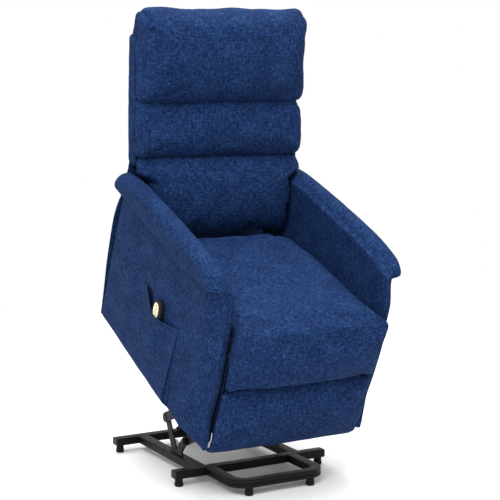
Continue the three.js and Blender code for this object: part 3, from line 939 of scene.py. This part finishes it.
def make_arms(_):
    """Both arms with the welt under the padded top and the two sewn lines down the front."""
    for name, side in SIDES.items():
        arm = make_piece(f"arm_{name}", arm_form(side))
        even_skin(arm, 5, 6)
        reshape(arm, arm_change(side))
        finish_piece(
            arm, "chair", "cloth", FINISHES["cloth"], f"side_panel_{name}", f"arm_pad_{name}"
        )
        line = smooth_line(SEAM_LINE, 150)[4:-2]
        outside = np.column_stack([np.full(len(line), side * 400), line])
        seam = on_surface(arm, outside, (-side, 0, 0), 1.5)
        welt = make_piece(f"arm_welt_{name}", tube_along(seam, circle(2.5), normal=(0.3, 0.2, 1)))
        # The welt's brighter cloth is a painted highlight along the piping.
        finish_piece(welt, "chair", "cloth", FINISHES["welt"])
        welt.parent = arm
        heights = np.linspace(6, 482, 120)
        stitches = []
        for x in (INNER_STITCH, POST - 1):
            across = np.full(len(heights), side * (ARM_INNER + x))
            rows = np.column_stack([across, np.full(len(heights), -90.0), heights])
            path = smooth_path(on_surface(arm, rows, (0, 1, 0), 0.2))
            stitches.append(tube_along(path, circle(0.9, 6), normal=(1, 0, 0)))
        thread = make_piece(f"arm_stitching_{name}", together(*stitches))
        finish_piece(thread, "chair", "cloth", FINISHES["thread"])
        thread.parent = arm


def smooth_path(path, rounds=6):
    """Each point moved to the mean of itself and its neighbours, a few times."""
    for _ in range(rounds):
        path[1:-1] = (path[:-2] + 2 * path[1:-1] + path[2:]) / 4
    return path


# ---- pocket and handset ---------------------------------------------------------------------

MOUTH = np.array(
    [[226, 277], [279, 256], [339, 242], [384, 240], [419, 250], [458, 272], [520, 286], [611, 329],
     [742, 384]], float
)  # fmt: skip


POCKET_END = 742.0  # where the pocket's cover runs out, behind the chair's front edge
POCKET_FLOOR = 2.0  # height of the cover's lower edge
FOLD_DEPTH = 15.0  # stand-off of the fold at the cover's front edge
HANDSET_BULGE = 22.5  # stand-off of the cover over the handset


def pocket_grid():
    """The cover as (across, back, up) over a grid of the share of the height of the mouth and the
    way round the cover. It stands off the side panel by the largest of three forms: a body that is
    fullest low down and thins to the rear, a gape at the drooping mouth, and the handset's bulge.
    Near its rear end it merges into the panel."""
    fold = np.array([[226, 0.4], [231, 0.8], [239, 2.5], [243, 7], [240, 12.5], [244, 14.5], [262, 15]])
    rear = np.column_stack([np.linspace(275, POCKET_END, 90), np.full(90, FOLD_DEPTH)])
    way = np.vstack([smooth_line(fold, 34), rear])
    share = np.linspace(0, 1, 70)[:, None]
    back = way[None, :, 0]
    mouth = np.interp(back, *MOUTH.T)
    up = POCKET_FLOOR + share * (mouth - POCKET_FLOOR)
    along = way[None, :, 1] / FOLD_DEPTH
    foot = rise(share, 0, 0.1)
    gape = 21 * bell(back - 365, 88) * share**2.2
    body = 11 * (1 - 0.35 * share) * fall(back, POCKET_END, 330) ** 0.7 + 2.0
    body = body * foot**0.5 * np.maximum(fall(back, POCKET_END, 10), 0.1) + 0.6
    stand = along * np.maximum(body * (1 - 0.75 * share**3), gape) + 0.4
    _, grip, _ = chair_coordinates(MM * sum(box_of("handset_body")) / 2)
    over = np.exp(-(((back - grip) / 37) ** 4)) * rise(up, 112, 34)
    stand = np.maximum(stand, (HANDSET_BULGE * over + 0.4) * foot)
    wavy = ripple(np.column_stack([np.broadcast_to(back, up.shape).ravel(), up.ravel()]), (190, 80), 91)
    stand = stand + 1.4 * wavy.reshape(up.shape) * along * fall(back, POCKET_END, 60)
    merge = rise(back, 462, 60) * rise(share, 0.72, 0.28)
    x = -(303.4 + np.maximum(stand, 0.3) * (1 - merge) - 4.5 * merge)
    return np.stack([x, np.broadcast_to(back, up.shape), up], axis=2)


def make_pocket(_):
    """The pocket on the sitter's right: its outer cover with a sewn hem, and a near-black sheet inside that paints
    the shade in its mouth.
    """
    points = pocket_grid()
    rows, columns, _ = points.shape
    cover = make_piece("pocket_cover", (points.reshape(-1, 3), grid_quads(rows, columns).tolist()))
    wall = cover.modifiers.new("cloth", "SOLIDIFY")
    wall.thickness = 2.4 * MM
    wall.offset = 0
    apply_modifiers(cover)
    divide(cover)
    face_outwards(cover)
    finish_piece(cover, "chair", "cloth", FINISHES["cloth"], "side_pocket")
    hem = points[-1, 28:96] - (0.6, 0, 9)
    thread = make_piece("pocket_stitching", tube_along(hem, circle(0.8, 6), normal=(1, 0, 0)))
    finish_piece(thread, "chair", "cloth", FINISHES["thread"])
    thread.parent = cover
    # Painted shade: a near-black sheet on the panel inside the pocket stands for the shade in its mouth.
    inside = [(246, 140), (246, 250), (300, 250), (384, 262), (450, 283), (500, 281), (500, 140)]
    inside = evenly(np.array(inside, float), 120, True)
    lining = rounded_prism(inside, 0.8, edge=0.4, columns=5, middle=-303.6)
    finish_piece(make_piece("pocket_painted_shade", lining), "chair", "cloth", FINISHES["painted_shade"])


def oval(centre, half_back, half_up, power=2.4, count=72):
    """A superellipse as an outline."""
    turn = np.linspace(0, 2 * math.pi, count, endpoint=False)
    c, s = np.cos(turn), np.sin(turn)
    round_off = 2 / power
    return np.stack(
        [
            centre[0] + half_back * np.sign(c) * np.abs(c) ** round_off,
            centre[1] + half_up * np.sign(s) * np.abs(s) ** round_off,
        ],
        axis=1,
    )


def make_handset(_):
    """The handset: a rounded casing, a cream oval plate and two domed keys."""
    low, high = box_of("handset_body")
    _, back, up = chair_coordinates(MM * (low + high) / 2)
    outline = oval((back, up), 23, 75, power=3.2)
    body = rounded_prism(outline, 10, edge=7, crown=1.0, columns=31, middle=-313)
    casing = make_piece("handset_casing", body)
    finish_piece(casing, "handset", "black_plastic", FINISHES["plastic"], "handset_body")
    plate = rounded_prism(oval((back, 260), 15.5, 24.5), 1.4, edge=1.1, columns=9, middle=-323.4)
    plate = make_piece("handset_plate", plate)
    finish_piece(plate, "handset", "cream_keys", FINISHES["cream"])
    outward_axis = (-1, 0, 0)
    for name, height in (("raise", 269), ("lower", 249)):
        well = turned([(0, -0.4), (7.6, -0.4), (7.8, 0.2), (0, 0.2)], (-324.7, back, height), outward_axis)
        well = make_piece(f"handset_well_{name}", well)
        finish_piece(well, "handset", "black_plastic", FINISHES["plastic"])
        dome = [(0, -3), (5.9, -3), (6.1, 0.6), (5.4, 1.3), (3.2, 1.8), (0, 2.0)]
        key = make_piece(f"key_{name}", turned(dome, (-324.6, back, height), outward_axis))
        shade_smooth(key, 50)
        finish_piece(key, f"{name}_key", "cream_keys", FINISHES["cream"], f"handset_button_{name}")


def make_legrest_trim(_):
    """The pale end of a hook-and-loop tape in the gap beside the foot cushion, and the near-black sheets that
    paint the shade in that gap behind the legrest's cushions."""
    # Painted shade: a near-black sheet on each side stands for the shade behind the legrest's cushions.
    for name, side in SIDES.items():
        outline = oval((46, 150), 19, 145, power=8)
        shape = rounded_prism(outline, 4, edge=2, columns=7, middle=side * 247)
        shade_sheet = make_piece(f"legrest_painted_shade_{name}", shape)
        finish_piece(shade_sheet, "legrest", "cloth", FINISHES["painted_shade"])
    path = smooth_line([(-256.2, 20, 50), (-256.4, 17, 30), (-256.2, 21, 10)], 20)
    tape = make_piece("tape_end", tube_along(path, rounded_rectangle(1.2, 5, 0.4), normal=(0, 1, 0)))
    finish_piece(tape, "chair", "cloth", FINISHES["tape"])


# ---- base and linkage -----------------------------------------------------------------------


def make_base_tube(node, axis):
    """A rounded rectangular tube along one axis."""
    low, high = box_of(node)
    centre, size = (low + high) / 2, high - low
    ends = np.array([centre, centre])
    ends[0, axis], ends[1, axis] = low[axis], high[axis]
    across = size[1 - axis]
    path = evenly(ends, 12)
    tube = tube_along(path, rounded_rectangle(across, size[2], 3.5))
    piece = make_piece(f"{node}_tube", tube, in_chair=False)
    shade_smooth(piece, 40)
    finish_piece(piece, "base", "frame_paint", FINISHES["paint"], node)
    return path, across, size[2]


def make_plugs(name, path, width, height):
    """A plug at both ends of a tube: a lip and a low dome."""
    shapes = []
    for end, inner in ((path[0], path[1]), (path[-1], path[-2])):
        way = (end - inner) / np.linalg.norm(end - inner)
        steps = [(0.0, 0.5), (0.8, 0.2), (2.0, 0.6), (2.8, 2.0), (3.2, 4.5)]
        rings = [
            tube_ring(end + way * out, way, rounded_rectangle(width - 2 * inset, height - 2 * inset, 3))
            for out, inset in steps
        ]
        shapes.append(loft(np.array(rings)))
    plugs = make_piece(name, together(*shapes), in_chair=False)
    shade_smooth(plugs, 50)
    finish_piece(plugs, "base", "black_plastic", FINISHES["plastic"])


def tube_ring(centre, way, section):
    """One flat section placed square to a level direction."""
    side = np.cross(way, (0, 0, 1.0))
    return centre + section[:, :1] * side + section[:, 1:] * np.array([0, 0, 1.0])


def make_hoop():
    """The front hoop: a tube bent to a U, with a groove rolled into its outer face."""
    low, high = box_of("base_hoop")
    half = high[0] - 17.5
    front = low[1] + 16
    rear = high[1]
    level = (low[2] + high[2]) / 2
    bend = 46.0
    turn = np.linspace(0, math.pi / 2, 15)
    left = np.stack([-half + bend * (1 - np.cos(turn)), front + bend * (1 - np.sin(turn))], axis=1)
    right = left[::-1] * (-1, 1)
    flat = np.vstack([[(-half, rear)], left, right, [(half, rear)]])
    path = np.column_stack([evenly(flat, 120), np.full(120, level)])
    section = rounded_rectangle(34, 25, 3.5)
    groove = [(17, -3.2), (14.4, -1.4), (14.4, 1.4), (17, 3.2)]
    start = len(section) - 5
    section = np.vstack([section[start:], groove, section[:start]])
    hoop = make_piece("base_hoop_tube", tube_along(path, section), in_chair=False)
    shade_smooth(hoop, 40)
    finish_piece(hoop, "base", "frame_paint", FINISHES["paint"], "base_hoop")


def make_feet():
    """Six moulded feet: a tread, a waist and a collar up to the tube."""
    for place in ("rear", "front", "hoop"):
        for side in SIDES:
            node = f"foot_{place}_{side}"
            low, high = box_of(node)
            centre = (low + high) / 2
            profile = [(0, 0), (10.6, 0), (12.6, 1.2), (13.4, 4), (13.2, 9), (12.2, 14), (11.6, 17),
                       (12.4, 19), (12.4, 24.6), (0, 24.6)]  # fmt: skip
            shape = turned(profile, (centre[0], centre[1], low[2]), (0, 0, 1))
            foot = make_piece(f"{node}_moulding", shape, in_chair=False)
            shade_smooth(foot, 55)
            finish_piece(foot, "base", "foot_rubber", FINISHES["rubber"], node)


def make_base(_):
    """The standing frame: tubes, rails, hoop, plugs and feet."""
    for node in ("base_front_tube", "base_rear_tube"):
        path, width, height = make_base_tube(node, 0)
        make_plugs(f"{node}_plugs", path, width, height)
    for node in ("base_rail_left", "base_rail_right"):
        make_base_tube(node, 1)
    make_hoop()
    make_feet()


# Distance from the middle of the chair to the outer face that each kind of bolt head lies on.
PIVOT_FACES = {"bracket": 178.2, "arm": 185.2, "chair": 193.2}


def hex_head(centre, side, radius, height):
    """A bolt: a washer and a hexagonal head whose edge is broken at the top."""
    washer = turned([(0, 0), (radius * 1.25, 0), (radius * 1.25, 1.0), (0, 1.0)], centre, (side, 0, 0))
    head = [(0, 0.8), (radius, 0.8), (radius, height - 1), (radius * 0.86, height), (0, height)]
    return together(washer, turned(head, centre, (side, 0, 0), segments=6))


def coil_spring(start, end, radius, turns, wire):
    """An extension spring: a wire carried round a straight axis."""
    start, end = np.asarray(start, float), np.asarray(end, float)
    axis = (end - start) / np.linalg.norm(end - start)
    first = np.cross(axis, (1.0, 0, 0))
    first /= np.linalg.norm(first)
    second = np.cross(axis, first)
    share = np.linspace(0, 1, turns * 14)
    angle = 2 * math.pi * turns * share
    round_axis = np.cos(angle)[:, None] * first + np.sin(angle)[:, None] * second
    path = start + (end - start) * share[:, None] + radius * round_axis
    return tube_along(path, circle(wire, 6), normal=axis)


def make_linkage_parts(_):
    """Bolts at the pivots and a return spring beside each bracket."""
    places = {
        "pivot_bolts_base": ("base", "front_link_swing", PIVOT_FACES["bracket"], 9.0, 6.0),
        "pivot_bolts_arms": ("lift_arms", "lift_lower", PIVOT_FACES["arm"], 9.5, 1.9),
        "pivot_bolts_chair": ("lift_arms", "chair_tilt", PIVOT_FACES["chair"], 9.0, 6.0),
    }
    for name, (body, joint, face, radius, height) in places.items():
        _, y, z = np.array(JOINTS[joint]["pos_m"]) / MM
        heads = [hex_head((side * face, y, z), side, radius, height) for side in SIDES.values()]
        bolts = make_piece(name, together(*heads), in_chair=False)
        shade_smooth(bolts, 30)
        finish_piece(bolts, body, "bright_steel", FINISHES["plastic"])
    _, y, z = np.array(JOINTS["front_link_swing"]["pos_m"]) / MM
    beside = 168.0
    springs = []
    for side in SIDES.values():
        start, end = (side * beside, y + 34, z - 43), (side * beside, y + 78, z - 14)
        springs.append(coil_spring(start, end, radius=4.2, turns=11, wire=0.9))
    piece = make_piece("return_springs", together(*springs), in_chair=False)
    finish_piece(piece, "base", "bright_steel", FINISHES["zinc"])


SLOT_FINISHES = {
    "cloth": "cloth",
    "frame_paint": "paint",
    "foot_rubber": "rubber",
    "bright_steel": "zinc",
    "timber": "timber",
    "black_plastic": "plastic",
    "cream_keys": "cream",
}

# Boards that show in narrow gaps take the near-black cloth, painted shade for those gaps; the legrest arms take
# the frame's black paint.
GAP_SHADE_AND_PAINT = {"legrest_board": "painted_shade"}
for side_name in SIDES:
    GAP_SHADE_AND_PAINT |= {f"back_upright_{side_name}": "painted_shade", f"seat_rail_{side_name}": "painted_shade"}
    GAP_SHADE_AND_PAINT |= {f"legrest_arm_{side_name}": "paint"}


def finish_frame_nodes(_):
    """Gives every CAD node that still shows the finish of its slot; boards in narrow gaps get painted shade
    instead, and the legrest arms black paint.
    """
    slots = {part["node"]: part["material_slot"] for part in frame["record"]["subparts"]}
    for name, node in frame["nodes"].items():
        if not node.hide_render:
            node.data.materials.clear()
            node.data.materials.append(FINISHES[GAP_SHADE_AND_PAINT.get(name) or SLOT_FINISHES[slots[name]]])


# ---- studio ---------------------------------------------------------------------------------


FLOOR_REACH = 3200.0  # half the floor's width, in millimetres
LIGHTS_AIM = (0.0, 0.0, 0.75)
CAMERA_PLACE = (-2.084, -3.7665, 1.258)
CAMERA_AIM = (0.100, 0.1375, 0.6845)
CAMERA_LENS = 100.8  # millimetres, on a sensor 36 millimetres wide


def area_light(name, place, aim, size, power):
    """A square soft light at a place, turned to an aim."""
    data = bpy.data.lights.new(name, "AREA")
    data.energy = power
    data.size = size
    light = bpy.data.objects.new(name, data)
    light.location = place
    light.rotation_euler = (Vector(aim) - Vector(place)).to_track_quat("-Z", "Y").to_euler()
    bpy.context.scene.collection.objects.link(light)


def make_stage(settings):
    """A pale floor, an even pale surround, soft lights and the camera."""
    scene = bpy.context.scene
    scene.view_settings.view_transform = "Standard"
    scene.view_settings.look = "None"
    floor_finish = Finish("pale_floor")
    place = floor_finish.add("TexCoord").outputs["Object"]
    shade = floor_finish.noise(place, 3.0, 3.0)
    pale = settings.floor_shade
    tones = [(0.3, (pale - 0.01,) * 3), (0.7, (pale,) * 3)]
    floor_finish.feed(floor_finish.shader, "Base Color", floor_finish.ramp(shade, tones))
    floor_finish.shader.inputs["Roughness"].default_value = 0.9
    corners = np.array([[-1, -1, 0], [1, -1, 0], [1, 1, 0], [-1, 1, 0]], float) * FLOOR_REACH
    floor = make_piece("floor", (corners, [[0, 1, 2, 3]]), in_chair=False)
    floor.data.materials.append(floor_finish.material)
    world = bpy.data.worlds.new("studio")
    world.use_nodes = True
    background = world.node_tree.nodes["Background"]
    background.inputs["Color"].default_value = (1, 1, 1, 1)
    background.inputs["Strength"].default_value = settings.surround
    scene.world = world
    area_light("key", (-2.6, -2.8, 4.2), LIGHTS_AIM, 2.6, settings.key_power)
    area_light("overhead", (0.4, 0.3, 4.6), LIGHTS_AIM, 3.0, settings.overhead_power)
    camera = bpy.data.objects.new("camera", bpy.data.cameras.new("camera"))
    camera.data.lens = CAMERA_LENS
    camera.data.sensor_width = 36.0
    camera.location = CAMERA_PLACE
    way = Vector(CAMERA_AIM) - camera.location
    camera.rotation_euler = way.to_track_quat("-Z", "Y").to_euler()
    scene.collection.objects.link(camera)
    scene.camera = camera


# ---- add-on ---------------------------------------------------------------------------------


class LiftChairSettings(bpy.types.PropertyGroup):
    """Sizes and colours of the chair's upholstery and studio."""

    cloth_colour: bpy.props.FloatVectorProperty(
        name="Cloth colour",
        description="Middle shade of the heathered cloth",
        subtype="COLOR",
        size=3,
        min=0.0,
        max=1.0,
        default=(0.0049, 0.0178, 0.066),
    )
    weave_pitch: bpy.props.FloatProperty(
        name="Weave pitch",
        description="Distance between two threads that lie on the same side",
        unit="LENGTH",
        default=0.0024,
    )
    seat_crown: bpy.props.FloatProperty(
        name="Seat crown",
        description="How much higher the middle of the seat stands than its sides",
        unit="LENGTH",
        default=0.008,
    )
    swell_pressure: bpy.props.FloatProperty(
        name="Stuffing pressure",
        description="Pressure that blows the cushions up",
        default=4.0,
    )
    swell_limit: bpy.props.FloatProperty(
        name="Stuffing limit",
        description="The furthest that the cloth of a cushion may move outwards",
        unit="LENGTH",
        default=0.014,
    )
    floor_shade: bpy.props.FloatProperty(
        name="Floor shade", description="Reflectance of the studio floor", default=0.8
    )
    surround: bpy.props.FloatProperty(
        name="Surround", description="Strength of the light from all round", default=1.0
    )
    key_power: bpy.props.FloatProperty(
        name="Key light", description="Power of the front light", unit="POWER", default=230.0
    )
    overhead_power: bpy.props.FloatProperty(
        name="Overhead light", description="Power of the overhead light", unit="POWER", default=250.0
    )


class BuildOperator:
    """What the operators of this add-on share."""

    bl_options = {"REGISTER"}

    def execute(self, context):
        """Runs the build function with the settings of the scene."""
        type(self).build(context.scene.lift_chair)
        return {"FINISHED"}


class CHAIR_OT_finishes(BuildOperator, bpy.types.Operator):
    """Make the procedural finishes"""

    bl_idname = "chair.finishes"
    bl_label = "Finishes"
    build = staticmethod(make_finishes)


class CHAIR_OT_base(BuildOperator, bpy.types.Operator):
    """Build the tubes, plugs and feet of the standing frame"""

    bl_idname = "chair.base"
    bl_label = "Base"
    build = staticmethod(make_base)


class CHAIR_OT_linkage(BuildOperator, bpy.types.Operator):
    """Build the bolts and springs of the linkage"""

    bl_idname = "chair.linkage"
    bl_label = "Linkage parts"
    build = staticmethod(make_linkage_parts)


class CHAIR_OT_chaise(BuildOperator, bpy.types.Operator):
    """Build the seat with its calf section"""

    bl_idname = "chair.chaise"
    bl_label = "Seat and calf section"
    build = staticmethod(make_chaise)


class CHAIR_OT_foot_cushion(BuildOperator, bpy.types.Operator):
    """Build the foot section"""

    bl_idname = "chair.foot_cushion"
    bl_label = "Foot section"
    build = staticmethod(make_foot_cushion)


class CHAIR_OT_lumbar_cushion(BuildOperator, bpy.types.Operator):
    """Build the lumbar cushion"""

    bl_idname = "chair.lumbar_cushion"
    bl_label = "Lumbar cushion"
    build = staticmethod(make_lumbar_cushion)


class CHAIR_OT_middle_cushion(BuildOperator, bpy.types.Operator):
    """Build the middle back cushion"""

    bl_idname = "chair.middle_cushion"
    bl_label = "Middle cushion"
    build = staticmethod(make_middle_cushion)


class CHAIR_OT_head_cushion(BuildOperator, bpy.types.Operator):
    """Build the head cushion"""

    bl_idname = "chair.head_cushion"
    bl_label = "Head cushion"
    build = staticmethod(make_head_cushion)


class CHAIR_OT_back_shell(BuildOperator, bpy.types.Operator):
    """Build the covered shell behind the cushions"""

    bl_idname = "chair.back_shell"
    bl_label = "Back shell"
    build = staticmethod(make_back_shell)


class CHAIR_OT_rear_cover(BuildOperator, bpy.types.Operator):
    """Build the cover of the outside of the back"""

    bl_idname = "chair.rear_cover"
    bl_label = "Rear cover"
    build = staticmethod(make_rear_cover)


class CHAIR_OT_arms(BuildOperator, bpy.types.Operator):
    """Build both arms with their welts and stitching"""

    bl_idname = "chair.arms"
    bl_label = "Arms"
    build = staticmethod(make_arms)


class CHAIR_OT_pocket(BuildOperator, bpy.types.Operator):
    """Build the side pocket"""

    bl_idname = "chair.pocket"
    bl_label = "Pocket"
    build = staticmethod(make_pocket)


class CHAIR_OT_handset(BuildOperator, bpy.types.Operator):
    """Build the handset and its keys"""

    bl_idname = "chair.handset"
    bl_label = "Handset"
    build = staticmethod(make_handset)


class CHAIR_OT_legrest_trim(BuildOperator, bpy.types.Operator):
    """Build the painted-shade sheets and the end of the tape beside the foot section"""

    bl_idname = "chair.legrest_trim"
    bl_label = "Legrest painted shade and tape end"
    build = staticmethod(make_legrest_trim)


class CHAIR_OT_frame_nodes(BuildOperator, bpy.types.Operator):
    """Finish the parts of the frame that still show"""

    bl_idname = "chair.frame_nodes"
    bl_label = "Frame nodes"
    build = staticmethod(finish_frame_nodes)


class CHAIR_OT_stage(BuildOperator, bpy.types.Operator):
    """Build the floor, the lights and the camera"""

    bl_idname = "chair.stage"
    bl_label = "Studio"
    build = staticmethod(make_stage)


OPERATORS = (
    CHAIR_OT_finishes,
    CHAIR_OT_base,
    CHAIR_OT_linkage,
    CHAIR_OT_chaise,
    CHAIR_OT_foot_cushion,
    CHAIR_OT_lumbar_cushion,
    CHAIR_OT_middle_cushion,
    CHAIR_OT_head_cushion,
    CHAIR_OT_back_shell,
    CHAIR_OT_rear_cover,
    CHAIR_OT_arms,
    CHAIR_OT_pocket,
    CHAIR_OT_handset,
    CHAIR_OT_legrest_trim,
    CHAIR_OT_frame_nodes,
    CHAIR_OT_stage,
)


class CHAIR_PT_panel(bpy.types.Panel):
    """Lists the operators and the settings"""

    bl_label = "Lift recliner chair"
    bl_space_type = "VIEW_3D"
    bl_region_type = "UI"
    bl_category = "Chair"

    def draw(self, context):
        """Draws the settings, then a button for each operator."""
        for name in LiftChairSettings.__annotations__:
            self.layout.prop(context.scene.lift_chair, name)
        for operator in OPERATORS:
            self.layout.operator(operator.bl_idname)


def register():
    """Registers the settings, the operators and the panel."""
    for item in (LiftChairSettings, *OPERATORS, CHAIR_PT_panel):
        bpy.utils.register_class(item)
    bpy.types.Scene.lift_chair = bpy.props.PointerProperty(type=LiftChairSettings)


def unregister():
    """Removes what register() added."""
    del bpy.types.Scene.lift_chair
    for item in (CHAIR_PT_panel, *reversed(OPERATORS), LiftChairSettings):
        bpy.utils.unregister_class(item)


def main():
    """Registers the add-on and builds everything in order."""
    register()
    for operator in OPERATORS:
        name = operator.bl_idname.split(".")[1]
        getattr(bpy.ops.chair, name)()


if __name__ == "__main__":
    main()
